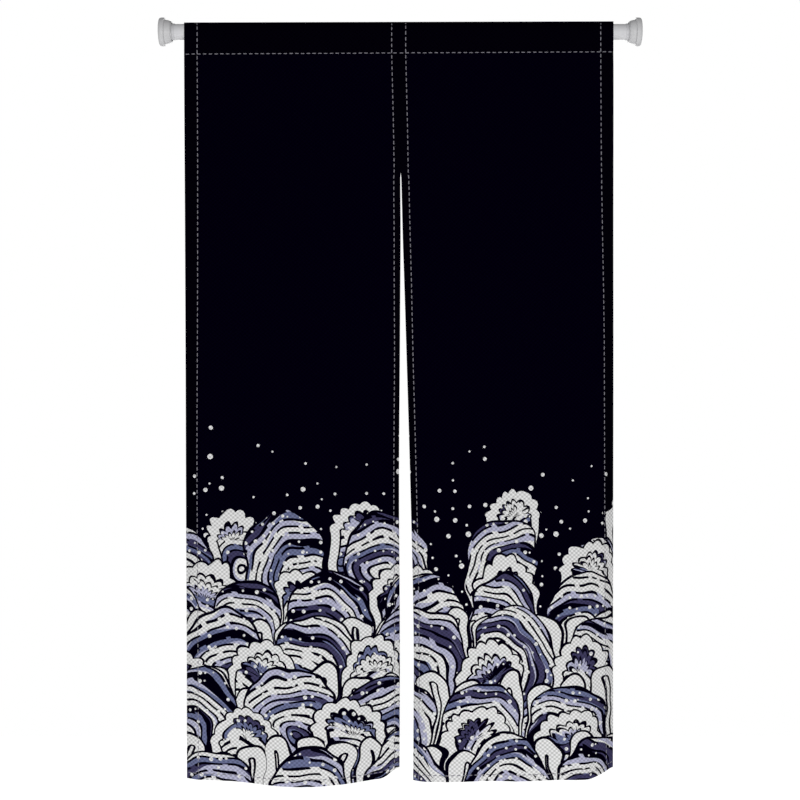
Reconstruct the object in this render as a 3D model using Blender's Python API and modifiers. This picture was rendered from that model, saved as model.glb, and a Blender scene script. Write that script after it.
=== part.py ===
"""Split doorway curtain on a spring tension rod.

Two hemmed panels hang side by side from one rod. They are sewn edge to edge down to the top of
the slit and hang free below it. The top of each panel goes up in front of the rod, turns over it
in a pressed crease, comes down behind and is stitched to itself, which makes the rod pocket. The
rod is a plain tube. Each end has a collar and a wide cap, and the caps press on the door frame.

Lengths are in metres. X runs along the rod, Y points away from the viewer and Z is up. The
origin is on the rod's axis, at the middle of the left cap's wall face.
"""

import math
from collections import namedtuple

import bmesh
import bpy
from mathutils import Vector

GAP = 0.0003

ROD_LENGTH = 0.952
TUBE_RADIUS = 0.0153
TUBE_WALL = 0.0012
ROUND_STEPS = 40

# The cap's outline, from the edge of its flat wall face over the flange and the cone to the
# mouth, then into the mouth and down to the floor that stops the tube.
Ring = namedtuple("Ring", "along radius")
CAP_RINGS = (
    Ring(along=0.0000, radius=0.0255),
    Ring(along=0.0016, radius=0.0271),
    Ring(along=0.0042, radius=0.0277),
    Ring(along=0.0096, radius=0.0277),
    Ring(along=0.0108, radius=0.0268),
    Ring(along=0.0108, radius=0.0236),
    Ring(along=0.0170, radius=0.0227),
    Ring(along=0.0218, radius=0.0211),
    Ring(along=0.0245, radius=0.0204),
    Ring(along=0.0245, radius=0.0186),
    Ring(along=0.0175, radius=0.0186),
    Ring(along=0.0175, radius=TUBE_RADIUS + GAP),
    Ring(along=0.0110, radius=TUBE_RADIUS + GAP),
)
COLLAR_RADIUS = 0.0162
COLLAR_START = 0.0178
COLLAR_END = 0.0301

PANEL_WIDTH = 0.425
CLOTH_THICKNESS = 0.0012
OUTER_HEM = 0.026
INNER_HEM = 0.015
HEM_BEND_SOFTNESS = 0.006

# Heights are from the rod's axis. The pocket hangs a little askew: both its crease and its
# stitch line rise from the left end to the right end.
CREASE_HEIGHT_LEFT = 0.0178
CREASE_HEIGHT_RIGHT = 0.0201
STITCH_DROP_LEFT = 0.0438
STITCH_DROP_RIGHT = 0.0392
HEM_DROP = 1.482

SHEET_ROWS = 30
FRONT_STRAIGHT_ROWS = 3
FRONT_ARC_ROWS = 6
CREASE_ROWS = 1
FIELD_COLUMNS = 12

# Where the side edges are, at six levels below the rod's axis. The seam is the left panel's
# inner edge, and the slit is the space from it to the right panel's inner edge.
Level = namedtuple("Level", "drop left seam slit right")
LEVELS = (
    Level(drop=0.000, left=0.0480, seam=0.4710, slit=0.0000, right=0.8980),
    Level(drop=0.280, left=0.0490, seam=0.4770, slit=0.0000, right=0.8990),
    Level(drop=0.580, left=0.0495, seam=0.4760, slit=0.0105, right=0.9005),
    Level(drop=0.900, left=0.0500, seam=0.4740, slit=0.0220, right=0.9015),
    Level(drop=1.200, left=0.0515, seam=0.4755, slit=0.0270, right=0.9030),
    Level(drop=1.484, left=0.0520, seam=0.4750, slit=0.0265, right=0.9055),
)

# A fold is a soft swell or hollow, centred at a distance across the flat panel. It starts at a
# share of the way down and is at its full depth at the hem. Toward is towards the viewer.
Fold = namedtuple("Fold", "across half_width toward starts")
LEFT_FOLDS = (
    Fold(across=0.100, half_width=0.080, toward=-0.004, starts=0.05),
    Fold(across=0.225, half_width=0.190, toward=0.030, starts=0.12),
    Fold(across=0.425, half_width=0.125, toward=-0.026, starts=0.42),
)
RIGHT_FOLDS = (
    Fold(across=0.000, half_width=0.060, toward=-0.014, starts=0.24),
    Fold(across=0.075, half_width=0.095, toward=0.011, starts=0.20),
    Fold(across=0.250, half_width=0.110, toward=0.007, starts=0.06),
    Fold(across=0.425, half_width=0.105, toward=-0.041, starts=0.34),
)
FOLD_GROWTH = 1.5

# The hem line isn't level. Lift raises it, and a corner that curls back shows as a lift.
Lift = namedtuple("Lift", "across half_width up")
LEFT_LIFTS = (
    Lift(across=0.000, half_width=0.100, up=0.002),
    Lift(across=0.225, half_width=0.150, up=-0.005),
    Lift(across=0.425, half_width=0.045, up=0.018),
)
RIGHT_LIFTS = (
    Lift(across=0.000, half_width=0.060, up=-0.004),
    Lift(across=0.290, half_width=0.090, up=0.003),
    Lift(across=0.425, half_width=0.085, up=0.013),
)
LIFT_SHARPNESS = 6

# The side hems turn back from the cloth that they edge. Both ends are shares of the way down.
Roll = namedtuple("Roll", "angle starts full_at")
LEFT_OUTER_ROLL = Roll(angle=math.radians(31), starts=0.00, full_at=0.60)
LEFT_INNER_ROLL = Roll(angle=math.radians(48), starts=0.17, full_at=0.45)
RIGHT_INNER_ROLL = Roll(angle=math.radians(38), starts=0.17, full_at=0.45)
RIGHT_OUTER_ROLL = Roll(angle=math.radians(41), starts=0.00, full_at=0.42)

ARC_SAMPLES = 240

CLOTH_BLACK = (0.0006, 0.0003, 0.0033, 1.0)
CAP_GREY = (0.58, 0.58, 0.59, 1.0)
COLLAR_GREY = (0.50, 0.50, 0.51, 1.0)
TUBE_WHITE = (0.66, 0.66, 0.68, 1.0)


def clear_scene():
    for obj in list(bpy.data.objects):
        bpy.data.objects.remove(obj, do_unlink=True)


def material(name, colour, roughness):
    made = bpy.data.materials.new(name)
    made.use_nodes = True
    shader = made.node_tree.nodes["Principled BSDF"]
    shader.inputs["Base Color"].default_value = colour
    shader.inputs["Roughness"].default_value = roughness
    shader.inputs["Metallic"].default_value = 0.0
    return made


def mix(a, b, share):
    return a + (b - a) * share


def clamped(share):
    return min(1.0, max(0.0, share))


def eased(share):
    share = clamped(share)
    return share * share * (3 - 2 * share)


def level_value(column, drop):
    """A column of LEVELS at any drop, on a smooth curve through its rows."""
    drops = [level.drop for level in LEVELS]
    values = [getattr(level, column) for level in LEVELS]
    last = len(LEVELS) - 1
    i = min(last - 1, max(0, sum(d <= drop for d in drops) - 1))
    span = drops[i + 1] - drops[i]

    def rise_over_span(k):
        low, high = max(0, k - 1), min(last, k + 1)
        return span * (values[high] - values[low]) / (drops[high] - drops[low])

    t = clamped((drop - drops[i]) / span)
    return (
        values[i] * (1 + 2 * t) * (1 - t) ** 2
        + rise_over_span(i) * t * (1 - t) ** 2
        + values[i + 1] * t * t * (3 - 2 * t)
        + rise_over_span(i + 1) * t * t * (t - 1)
    )


def left_panel_edges(drop):
    return level_value("left", drop), level_value("seam", drop) - GAP / 2


def right_panel_edges(drop):
    slit = max(0.0, level_value("slit", drop))
    return level_value("seam", drop) + slit + GAP / 2, level_value("right", drop)


Panel = namedtuple("Panel", "name edges folds lifts left_hem right_hem left_roll right_roll")
PANELS = (
    Panel(
        name="panel_left",
        edges=left_panel_edges,
        folds=LEFT_FOLDS,
        lifts=LEFT_LIFTS,
        left_hem=OUTER_HEM,
        right_hem=INNER_HEM,
        left_roll=LEFT_OUTER_ROLL,
        right_roll=LEFT_INNER_ROLL,
    ),
    Panel(
        name="panel_right",
        edges=right_panel_edges,
        folds=RIGHT_FOLDS,
        lifts=RIGHT_LIFTS,
        left_hem=INNER_HEM,
        right_hem=OUTER_HEM,
        left_roll=RIGHT_INNER_ROLL,
        right_roll=RIGHT_OUTER_ROLL,
    ),
)


def bump(offset, half_width):
    """One at the middle, falling smoothly to nothing at the half width."""
    share = abs(offset) / half_width
    return 0.5 * (1 + math.cos(math.pi * share)) if share < 1 else 0.0


def grown(down, starts):
    return clamped((down - starts) / (1 - starts)) ** FOLD_GROWTH


def turned_back(inside, hem, roll, down):
    """How far the hem lies behind the cloth, at a distance inside the panel's edge."""
    angle = roll.angle * eased((down - roll.starts) / (roll.full_at - roll.starts))
    past = hem - inside
    return math.sin(angle) * HEM_BEND_SOFTNESS * math.log1p(math.exp(past / HEM_BEND_SOFTNESS))


def depth(panel, across, down):
    """How far the cloth stands behind the rod's axis."""
    folds = sum(
        fold.toward * bump(across - fold.across, fold.half_width) * grown(down, fold.starts)
        for fold in panel.folds
    )
    left = turned_back(across, panel.left_hem, panel.left_roll, down)
    right = turned_back(PANEL_WIDTH - across, panel.right_hem, panel.right_roll, down)
    return left + right - folds


def shares_across(panel, places, down):
    """How much of the panel's width in X lies to the left of each place across the cloth."""
    step = PANEL_WIDTH / ARC_SAMPLES
    reached = [0.0]
    before = depth(panel, 0.0, down)
    for i in range(1, ARC_SAMPLES + 1):
        here = depth(panel, i * step, down)
        reached.append(reached[-1] + math.sqrt(max(step * step - (here - before) ** 2, 0.0)))
        before = here
    shares = []
    for place in places:
        i = min(int(place / step), ARC_SAMPLES - 1)
        shares.append(mix(reached[i], reached[i + 1], place / step - i) / reached[-1])
    return shares


def along_curtain(x):
    """0 at the curtain's left end and 1 at its right end."""
    return clamped((x - LEVELS[0].left) / (LEVELS[0].right - LEVELS[0].left))


def stitch_z(x):
    return -mix(STITCH_DROP_LEFT, STITCH_DROP_RIGHT, along_curtain(x))


def crease_z(x):
    return mix(CREASE_HEIGHT_LEFT, CREASE_HEIGHT_RIGHT, along_curtain(x))


def spaced(start, end, count):
    """Evenly spaced points from start to just before end."""
    return [tuple(mix(a, b, i / count) for a, b in zip(start, end)) for i in range(count)]


def front_section(x):
    """(Y, Z) points of the pocket's front, from the stitch line round the rod to the crease."""
    bottom, crease = (0.0, stitch_z(x)), (0.0, crease_z(x))
    around = TUBE_RADIUS + GAP + CLOTH_THICKNESS / 2
    low = -math.asin(around / -stitch_z(x))
    high = math.asin(around / crease_z(x))
    angles = [mix(low, high, i / FRONT_ARC_ROWS) for i in range(FRONT_ARC_ROWS + 1)]
    arc = [(-around * math.cos(angle), around * math.sin(angle)) for angle in angles]
    straight = spaced(bottom, arc[0], FRONT_STRAIGHT_ROWS)
    return straight + arc[:-1] + spaced(arc[-1], crease, CREASE_ROWS) + [crease]


def pocket_section(x):
    """The whole loop: up the front, over the crease and down the back to the stitch line."""
    front = front_section(x)
    back = [(-y, z) for y, z in reversed(front[:-1])]
    return front + back


def column_places(panel):
    """The distances across the flat panel that get a column of points, closer in the hems."""
    left = [0.0, panel.left_hem / 2, panel.left_hem - HEM_BEND_SOFTNESS]
    right = [PANEL_WIDTH - panel.right_hem + HEM_BEND_SOFTNESS]
    right += [PANEL_WIDTH - panel.right_hem / 2, PANEL_WIDTH]
    start = panel.left_hem + HEM_BEND_SOFTNESS
    end = PANEL_WIDTH - panel.right_hem - HEM_BEND_SOFTNESS
    field = [mix(start, end, i / FIELD_COLUMNS) for i in range(FIELD_COLUMNS + 1)]
    return left + field + right


def hem_lift(panel, across):
    return sum(lift.up * bump(across - lift.across, lift.half_width) for lift in panel.lifts)


def sheet_rows(panel, places):
    """Rows of points from the hem up to the pocket's stitch line."""
    rows = []
    for row in range(SHEET_ROWS + 1):
        down = 1 - row / SHEET_ROWS
        left, right = panel.edges(mix(-stitch_z(ROD_LENGTH / 2), HEM_DROP, down))
        points = []
        for across, share in zip(places, shares_across(panel, places, down)):
            x = mix(left, right, share)
            lift = hem_lift(panel, across) * down ** LIFT_SHARPNESS
            z = mix(stitch_z(x), -HEM_DROP, down) + lift
            points.append(Vector((x, depth(panel, across, down), z)))
        rows.append(points)
    return rows


def pocket_rows(stitch_row):
    """Rows of points round the rod, from just above the stitch line back to that line."""
    sections = [pocket_section(point.x) for point in stitch_row]
    return [
        [Vector((point.x, *section[row])) for point, section in zip(stitch_row, sections)]
        for row in range(1, len(sections[0]))
    ]


def panel_mesh(panel):
    """The panel's middle surface: one strip of cloth whose top end is sewn to its own back."""
    places = column_places(panel)
    rows = sheet_rows(panel, places)
    rows += pocket_rows(rows[-1])
    last_column, last_row = len(places) - 1, len(rows) - 1
    shape = bmesh.new()
    bmesh.ops.create_grid(shape, x_segments=last_column, y_segments=last_row, size=0.5)
    for vertex in shape.verts:
        column = round((vertex.co.x + 0.5) * last_column)
        row = round((vertex.co.y + 0.5) * last_row)
        vertex.co = rows[row][column]
    bmesh.ops.remove_doubles(shape, verts=shape.verts, dist=0.00005)
    mesh = bpy.data.meshes.new(panel.name)
    shape.to_mesh(mesh)
    shape.free()
    return mesh


def add_panel(panel, cloth, collection):
    obj = bpy.data.objects.new(panel.name, panel_mesh(panel))
    collection.objects.link(obj)
    obj.data.materials.append(cloth)
    solid = obj.modifiers.new("thickness", "SOLIDIFY")
    solid.solidify_mode = "NON_MANIFOLD"
    solid.nonmanifold_thickness_mode = "FIXED"
    solid.nonmanifold_boundary_mode = "NONE"
    solid.nonmanifold_merge_threshold = 0.00001
    solid.thickness = CLOTH_THICKNESS
    solid.offset = 0.0
    obj.data.shade_smooth()


def add_turned(name, profile, x, direction, finish, collection):
    """A body turned round the rod's axis. The profile holds (distance along the rod, radius).

    A profile that doesn't start on the axis is a closed ring.
    """
    outline = bmesh.new()
    corners = [outline.verts.new((radius, 0.0, along)) for along, radius in profile]
    for first, second in zip(corners, corners[1:]):
        outline.edges.new((first, second))
    if profile[0][1] > 0:
        outline.edges.new((corners[-1], corners[0]))
    mesh = bpy.data.meshes.new(name)
    outline.to_mesh(mesh)
    outline.free()
    obj = bpy.data.objects.new(name, mesh)
    collection.objects.link(obj)
    obj.data.materials.append(finish)
    obj.location = (x, 0.0, 0.0)
    obj.rotation_euler = (0.0, direction * math.pi / 2, 0.0)
    screw = obj.modifiers.new("turn", "SCREW")
    screw.axis = "Z"
    screw.steps = ROUND_STEPS
    screw.render_steps = ROUND_STEPS
    screw.use_merge_vertices = True
    screw.merge_threshold = 0.00001
    screw.use_normal_flip = True
    screw.use_smooth_shade = True


def ring(start, end, inner, outer):
    """Profile of a plain ring, from its start to its end along the rod."""
    return [(start, inner), (start, outer), (end, outer), (end, inner)]


def cap_profile():
    """The cap's rings, closed to the axis at the wall face and at the floor."""
    floor = CAP_RINGS[-1].along
    return [(0.0, 0.0), *CAP_RINGS, (floor, 0.0)]


def add_rod(collection):
    tube_finish = material("tube paint", TUBE_WHITE, 0.35)
    cap_finish = material("cap plastic", CAP_GREY, 0.35)
    collar_finish = material("collar plastic", COLLAR_GREY, 0.40)
    tube_end = CAP_RINGS[-1].along + GAP
    tube = ring(tube_end, ROD_LENGTH - tube_end, TUBE_RADIUS - TUBE_WALL, TUBE_RADIUS)
    add_turned("rod_tube", tube, 0.0, 1, tube_finish, collection)
    collar = ring(COLLAR_START, COLLAR_END, TUBE_RADIUS + GAP, COLLAR_RADIUS)
    for side, x, direction in (("left", 0.0, 1), ("right", ROD_LENGTH, -1)):
        add_turned(f"cap_{side}", cap_profile(), x, direction, cap_finish, collection)
        add_turned(f"collar_{side}", collar, x, direction, collar_finish, collection)


def main():
    clear_scene()
    curtain = bpy.data.collections.new("split_doorway_curtain")
    bpy.context.scene.collection.children.link(curtain)
    cloth = material("printed cloth", CLOTH_BLACK, 0.95)
    for panel in PANELS:
        add_panel(panel, cloth, curtain)
    add_rod(curtain)


main()
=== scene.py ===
# Looks of the split doorway curtain: printed cloth, stitching, rod ends, light and camera.
#
# Lengths are in metres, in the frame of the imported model. X runs along the rod, Y points away
# from the viewer and Z is up, and the origin is at the middle of the left cap's wall face.
# The cloth hangs in the same shape as the solids do, worked out at a finer step.

import math
from collections import namedtuple

import bmesh
import bpy
import numpy as np
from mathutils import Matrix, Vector


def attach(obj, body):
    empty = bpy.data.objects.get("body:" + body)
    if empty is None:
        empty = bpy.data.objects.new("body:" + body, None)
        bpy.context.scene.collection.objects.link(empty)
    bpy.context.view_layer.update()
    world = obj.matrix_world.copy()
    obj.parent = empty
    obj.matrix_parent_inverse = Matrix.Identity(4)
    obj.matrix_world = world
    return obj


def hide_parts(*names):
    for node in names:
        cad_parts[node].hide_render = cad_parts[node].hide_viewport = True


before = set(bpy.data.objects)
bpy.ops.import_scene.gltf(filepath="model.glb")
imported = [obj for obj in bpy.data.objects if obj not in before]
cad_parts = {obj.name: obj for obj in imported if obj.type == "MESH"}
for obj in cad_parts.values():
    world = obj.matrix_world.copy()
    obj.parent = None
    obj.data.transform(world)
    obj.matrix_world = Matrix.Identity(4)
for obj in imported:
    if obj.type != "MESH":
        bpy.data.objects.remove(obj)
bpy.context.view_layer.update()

GAP = 0.0003

ROD_LENGTH = 0.952
TUBE_RADIUS = 0.0153
TUBE_WALL = 0.0012
ROUND_STEPS = 96
EDGE_STEPS = 4

# The cap's outline, from the edge of its flat wall face over the flange and the cone to the
# mouth, then into the mouth and down to the floor that stops the tube. LIP_RING is the number
# of the ring at the lip's outer edge.
Ring = namedtuple("Ring", "along radius")
CAP_RINGS = (
    Ring(along=0.0000, radius=0.0255),
    Ring(along=0.0016, radius=0.0271),
    Ring(along=0.0042, radius=0.0277),
    Ring(along=0.0096, radius=0.0277),
    Ring(along=0.0108, radius=0.0268),
    Ring(along=0.0108, radius=0.0236),
    Ring(along=0.0170, radius=0.0227),
    Ring(along=0.0218, radius=0.0211),
    Ring(along=0.0245, radius=0.0204),
    Ring(along=0.0245, radius=0.0186),
    Ring(along=0.0175, radius=0.0186),
    Ring(along=0.0175, radius=TUBE_RADIUS + GAP),
    Ring(along=0.0110, radius=TUBE_RADIUS + GAP),
)
LIP_RING = 8
CAP_EDGE = 0.0009
GRIP_GROOVES = (0.006, 0.011, 0.016, 0.021)
GROOVE_WIDTH = 0.0016
GROOVE_DEPTH = 0.0010
LIP_GROOVE = (0.0222, 0.0238)
LIP_GROOVE_DEPTH = 0.0013
COLLAR_RADIUS = 0.0162
COLLAR_START = 0.0178
COLLAR_END = 0.0301
COLLAR_EDGE = 0.0004
ROUND_SHARE = 0.45
MERGE_DISTANCE = 0.00001

PANEL_WIDTH = 0.425
OUTER_HEM = 0.026
INNER_HEM = 0.015
BOTTOM_HEM = 0.014
HEM_BEND_SOFTNESS = 0.006
HEM_ALLOWANCE = 0.0025
HEM_EASE = 0.012

# Above the slit the panels are sewn together. At its mouth they part by a hair, which then
# passes into the space that LEVELS gives.
SLIT_START = 0.280
SEAM_BITE = 0.00015
MOUTH_SPACE = 0.0006
MOUTH_RISE = 0.004
MOUTH_OPENING = 0.012
MOUTH_LENGTH = 0.030
MOUTH_FADE = 0.120

SHEET_THICKNESS = 0.0006
LAYER_PITCH = 0.0008
EDGE_INSET = (LAYER_PITCH + SHEET_THICKNESS) / 2
FOLD_STEPS = 6

# Heights are from the rod's axis. The pocket hangs a little askew: both its crease and its
# stitch line rise from the left end to the right end.
CREASE_HEIGHT_LEFT = 0.0178
CREASE_HEIGHT_RIGHT = 0.0201
STITCH_DROP_LEFT = 0.0438
STITCH_DROP_RIGHT = 0.0392
HEM_DROP = 1.482
SHEET_LENGTH = HEM_DROP - (STITCH_DROP_LEFT + STITCH_DROP_RIGHT) / 2
POCKET_RADIUS = TUBE_RADIUS + GAP + SHEET_THICKNESS / 2 + LAYER_PITCH
CREASE_RADIUS = 0.0013
CREASE_RISE = 0.0006

COLUMN_STEP = 0.005
HEM_COLUMN_STEP = 0.004
ROW_STEP = 0.006
HEM_ROW_STEP = 0.0035
POCKET_STRAIGHT_ROWS = 6
POCKET_ARC_ROWS = 14
POCKET_FLANK_ROWS = 2
CREASE_ROWS = 4
TAIL_ROWS = 2

# Where the side edges are, at six levels below the rod's axis. The seam is the left panel's
# inner edge, and the slit is the space from it to the right panel's inner edge.
Level = namedtuple("Level", "drop left seam slit right")
LEVELS = (
    Level(drop=0.000, left=0.0480, seam=0.4710, slit=0.0000, right=0.8980),
    Level(drop=SLIT_START, left=0.0490, seam=0.4770, slit=0.0000, right=0.8990),
    Level(drop=0.580, left=0.0495, seam=0.4760, slit=0.0105, right=0.9005),
    Level(drop=0.900, left=0.0500, seam=0.4740, slit=0.0220, right=0.9015),
    Level(drop=1.200, left=0.0515, seam=0.4755, slit=0.0270, right=0.9030),
    Level(drop=1.484, left=0.0520, seam=0.4750, slit=0.0265, right=0.9055),
)

# A fold is a soft swell or hollow, centred at a distance across the flat panel. It starts at a
# share of the way down and is at its full depth at the hem. Toward is towards the viewer.
Fold = namedtuple("Fold", "across half_width toward starts")
LEFT_FOLDS = (
    Fold(across=0.100, half_width=0.080, toward=-0.004, starts=0.05),
    Fold(across=0.225, half_width=0.190, toward=0.030, starts=0.12),
    Fold(across=0.425, half_width=0.125, toward=-0.026, starts=0.42),
)
RIGHT_FOLDS = (
    Fold(across=0.000, half_width=0.060, toward=-0.014, starts=0.24),
    Fold(across=0.075, half_width=0.095, toward=0.011, starts=0.20),
    Fold(across=0.250, half_width=0.110, toward=0.007, starts=0.06),
    Fold(across=0.425, half_width=0.105, toward=-0.041, starts=0.34),
)
FOLD_GROWTH = 1.5

# The hem line isn't level. Lift raises it, and a corner that curls back shows as a lift.
Lift = namedtuple("Lift", "across half_width up")
LEFT_LIFTS = (
    Lift(across=0.000, half_width=0.100, up=0.002),
    Lift(across=0.225, half_width=0.150, up=-0.005),
    Lift(across=0.425, half_width=0.045, up=0.018),
)
RIGHT_LIFTS = (
    Lift(across=0.000, half_width=0.060, up=-0.004),
    Lift(across=0.290, half_width=0.090, up=0.003),
    Lift(across=0.425, half_width=0.085, up=0.013),
)
LIFT_SHARPNESS = 6

# A panel's side edge has a hem, and a stitch line at a distance from the edge. The hem turns
# back by an angle in degrees, which it reaches between two shares of the way down.
Side = namedtuple("Side", "hem stitch angle starts full_at")
LEFT_OUTER = Side(OUTER_HEM, stitch=0.0260, angle=31, starts=0.00, full_at=0.60)
LEFT_INNER = Side(INNER_HEM, stitch=0.0130, angle=48, starts=0.17, full_at=0.45)
RIGHT_INNER = Side(INNER_HEM, stitch=0.0150, angle=38, starts=0.17, full_at=0.45)
RIGHT_OUTER = Side(OUTER_HEM, stitch=0.0252, angle=41, starts=0.00, full_at=0.42)

ARC_SAMPLES = 240

# Sewing draws the cloth in a little, so hems and the pocket's stitch line pucker. A short and
# a long wave lie over each other, and the short one drifts, so the puckers are uneven.
PUCKER_DEPTH = 0.0005
PUCKER_REACH = 0.022
SHORT_PUCKER = 0.031
LONG_PUCKER = 0.047
LONG_PUCKER_SHARE = 0.8
LONG_PUCKER_TURN = 1.0
PUCKER_DRIFT = 2.0
PUCKER_DRIFT_LENGTH = 0.29
SEAM_PUCKER_START = 0.4

STITCH_PITCH = 0.0113
STITCH_LENGTH = 0.0072
STITCH_WIDTH = 0.0019
STITCH_HEIGHT = 0.0007
STITCH_SIDES = 8

# Rings round a stitch's thread, from one end at -1 to the other at 1. It thins towards both.
StitchRing = namedtuple("StitchRing", "along size")
STITCH_RINGS = (
    StitchRing(along=-1.00, size=0.35),
    StitchRing(along=-0.86, size=0.80),
    StitchRing(along=-0.50, size=1.00),
    StitchRing(along=0.00, size=1.00),
    StitchRing(along=0.50, size=1.00),
    StitchRing(along=0.86, size=0.80),
    StitchRing(along=1.00, size=0.35),
)

# Places of sewn lines along the cloth: above the finished hem, or for the front of the pocket
# from its stitch line up to the crease.
LOWEST_STITCH_START = 0.0015
BOTTOM_STITCH_HEIGHT = 0.0125
STITCH_MARGIN = 0.001
POCKET_FRONT = 0.066

# Colours of the print, as linear light.
INK_BLACK = (0.00065, 0.0001, 0.0040, 1.0)
HEM_BLACK = (0.00075, 0.0003, 0.0026, 1.0)
INK_INDIGO = (0.046, 0.042, 0.100, 1.0)
INK_SLATE = (0.130, 0.147, 0.265, 1.0)
INK_LAVENDER = (0.408, 0.410, 0.548, 1.0)
INK_WHITE = (0.690, 0.690, 0.690, 1.0)

# The print is rows of roundels, painted from the back row to the front one. Height and first
# are the middle of a row's first roundel, above the finished hem and from the left edge.
# A fan is rings only, a flower has a scalloped pale border, and a cloud is plain and pale.
PrintRow = namedtuple("PrintRow", "kind height first pitch radius rise sway")
FAN, FLOWER, CLOUD = 0.0, 1.0, 2.0
PRINT_ROWS = (
    PrintRow(FLOWER, height=0.505, first=0.095, pitch=0.260, radius=0.058, rise=0.060, sway=0.040),
    PrintRow(FAN, height=0.440, first=0.185, pitch=0.210, radius=0.080, rise=0.060, sway=0.030),
    PrintRow(FLOWER, height=0.385, first=0.045, pitch=0.190, radius=0.070, rise=0.060, sway=0.030),
    PrintRow(FAN, height=0.335, first=0.125, pitch=0.165, radius=0.082, rise=0.030, sway=0.010),
    PrintRow(CLOUD, height=0.305, first=0.020, pitch=0.062, radius=0.034, rise=0.040, sway=0.010),
    PrintRow(FAN, height=0.258, first=0.070, pitch=0.190, radius=0.094, rise=0.026, sway=0.010),
    PrintRow(FLOWER, height=0.216, first=0.160, pitch=0.205, radius=0.072, rise=0.040, sway=0.030),
    PrintRow(CLOUD, height=0.180, first=0.055, pitch=0.070, radius=0.036, rise=0.050, sway=0.010),
    PrintRow(FAN, height=0.132, first=0.030, pitch=0.178, radius=0.088, rise=0.030, sway=0.006),
    PrintRow(FLOWER, height=0.086, first=0.120, pitch=0.210, radius=0.070, rise=0.036, sway=0.030),
    PrintRow(CLOUD, height=0.048, first=0.010, pitch=0.058, radius=0.031, rise=0.036, sway=0.008),
    PrintRow(FAN, height=-0.004, first=0.060, pitch=0.185, radius=0.086, rise=0.020, sway=0.010),
)
TONE_RANGE = 0.9
KIND_MARGIN = 0.01
SMALLEST_ROUNDEL = 0.84
SCALLOP_COUNT = 15
SCALLOP_HEIGHT = 0.0075
FLOWER_BORDER = 0.026
OFF_CENTRE = 0.055
RINGS_REACH = OFF_CENTRE * 1.5
HAND_WOBBLE = 0.022
WOBBLE_SCALE = 11.0
WOBBLE_DETAIL = 1.0
INK_LINE = 0.0045
RING_PITCH = 0.0132
INK_CYCLE = 5.3
INK_STEPS = (0.34, 0.67, 0.88, 0.994)

# A ring's second ink is lighter or darker than its first by up to these steps. The border
# between the two swings along the ring, and the black line breaks a few times in each swing.
SECOND_INK_LIGHTER = -0.4
SECOND_INK_DARKER = 0.3
TAPER_TURNS = 34.0
TAPER_SLANT = 0.6
TAPER_DEPTH = 0.45
TAPER_MIDDLE = 0.66
BREAK_RATE = 3.0
BREAK_ABOVE = 0.86

# What the random numbers of rows, roundels and rings start from.
ROW_SEED_START = 3.7
ROW_SEED_STEP = 11.3
ROUNDEL_SEEDS = 57.0
RING_SEEDS = 3.1

DOT_SCATTER = 0.74
DOT_CELL = 0.0185
DOT_SMALL = 0.0017
DOT_LARGE = 0.0040
DOTS_LEFT_OUT = 0.35
SKY_DOT_CELL = 0.031
SKY_DOT_SMALL = 0.0020
SKY_DOT_LARGE = 0.0054
SKY_DOT_RARITY = 2.0
SKY_DOTS_FULL = 0.44
SKY_DOTS_END = 0.71

# A plain weave, whose light and shade are painted into the cloth's colour: lighter threads, darker
# gaps.
WEAVE_ACROSS = 0.0045
WEAVE_DOWN = 0.0040
WEAVE_PAINTED_CONTRAST = 0.28
WEAVE_SHADE = 0.88
WEAVE_DEPTH = 0.00012
YARN_STRETCH = 4.0
YARN_SCALE = 60.0
YARN_UNEVENNESS = 0.06
REVERSE_GROUND = (0.030, 0.030, 0.042, 1.0)
REVERSE_SHOW_THROUGH = 0.30
# Painted weave light and shade on the reverse side, weaker than on the print.
REVERSE_PAINTED_CONTRAST = 0.16

THREAD_GREY = (0.225, 0.218, 0.250, 1.0)
STRAND_TURNS = 5200.0
# How much painted shade the twisted strands put into the thread's colour.
STRAND_PAINTED_SHADE = 0.10
STRAND_DEPTH = 0.00008
FUZZ_SCALE = 900.0
FUZZ_SHADES = (0.72, 1.22)

CAP_GREY = (0.58, 0.58, 0.59, 1.0)
COLLAR_GREY = (0.58, 0.58, 0.60, 1.0)
TUBE_WHITE = (0.66, 0.66, 0.68, 1.0)
FLOW_SCALE = 55.0
FLOW_DETAIL = 4.0
FLOW_SHADES = (0.95, 1.05)
FLOW_GLOSS = 0.08
GRAIN_SCALE = 2600.0
GRAIN_DEPTH = 0.00002
GRAIN_STRENGTH = 0.6

# The photograph: 800 pixels across 1.583 m at the rod, seen level from 3 m in front.
PHOTO_WIDTH = 1.5832
CAMERA_DISTANCE = 3.0
CAMERA_X = 0.4756
CAMERA_Z = -0.7284
SENSOR_MILLIMETRES = 36.0
FLOOR_Z = -1.75
FLOOR_REACH = 1.6
FLOOR_SHADES = (0.84, 0.86)
FLOOR_SCALE = 3.0
FLOOR_GLOW = 0.70
WORLD_SIDE = 0.46
WORLD_POLES = 0.16
SOFTBOX_SIZE = 2.0
FRONT_SOFTBOX = (CAMERA_X, -3.4, -0.85)
FRONT_POWER = 61.0
BACK_SOFTBOX = (CAMERA_X, 3.4, 0.10)
BACK_POWER = 34.0


def mix(a, b, share):
    return a + (b - a) * share


def clamped(share):
    return min(1.0, max(0.0, share))


def eased(share):
    share = clamped(share)
    return share * share * (3 - 2 * share)


def spread(start, end, step):
    """Evenly spaced values from start to end, both included, about a step apart."""
    count = max(1, round(abs(end - start) / step))
    return [mix(start, end, i / count) for i in range(count + 1)]


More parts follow.
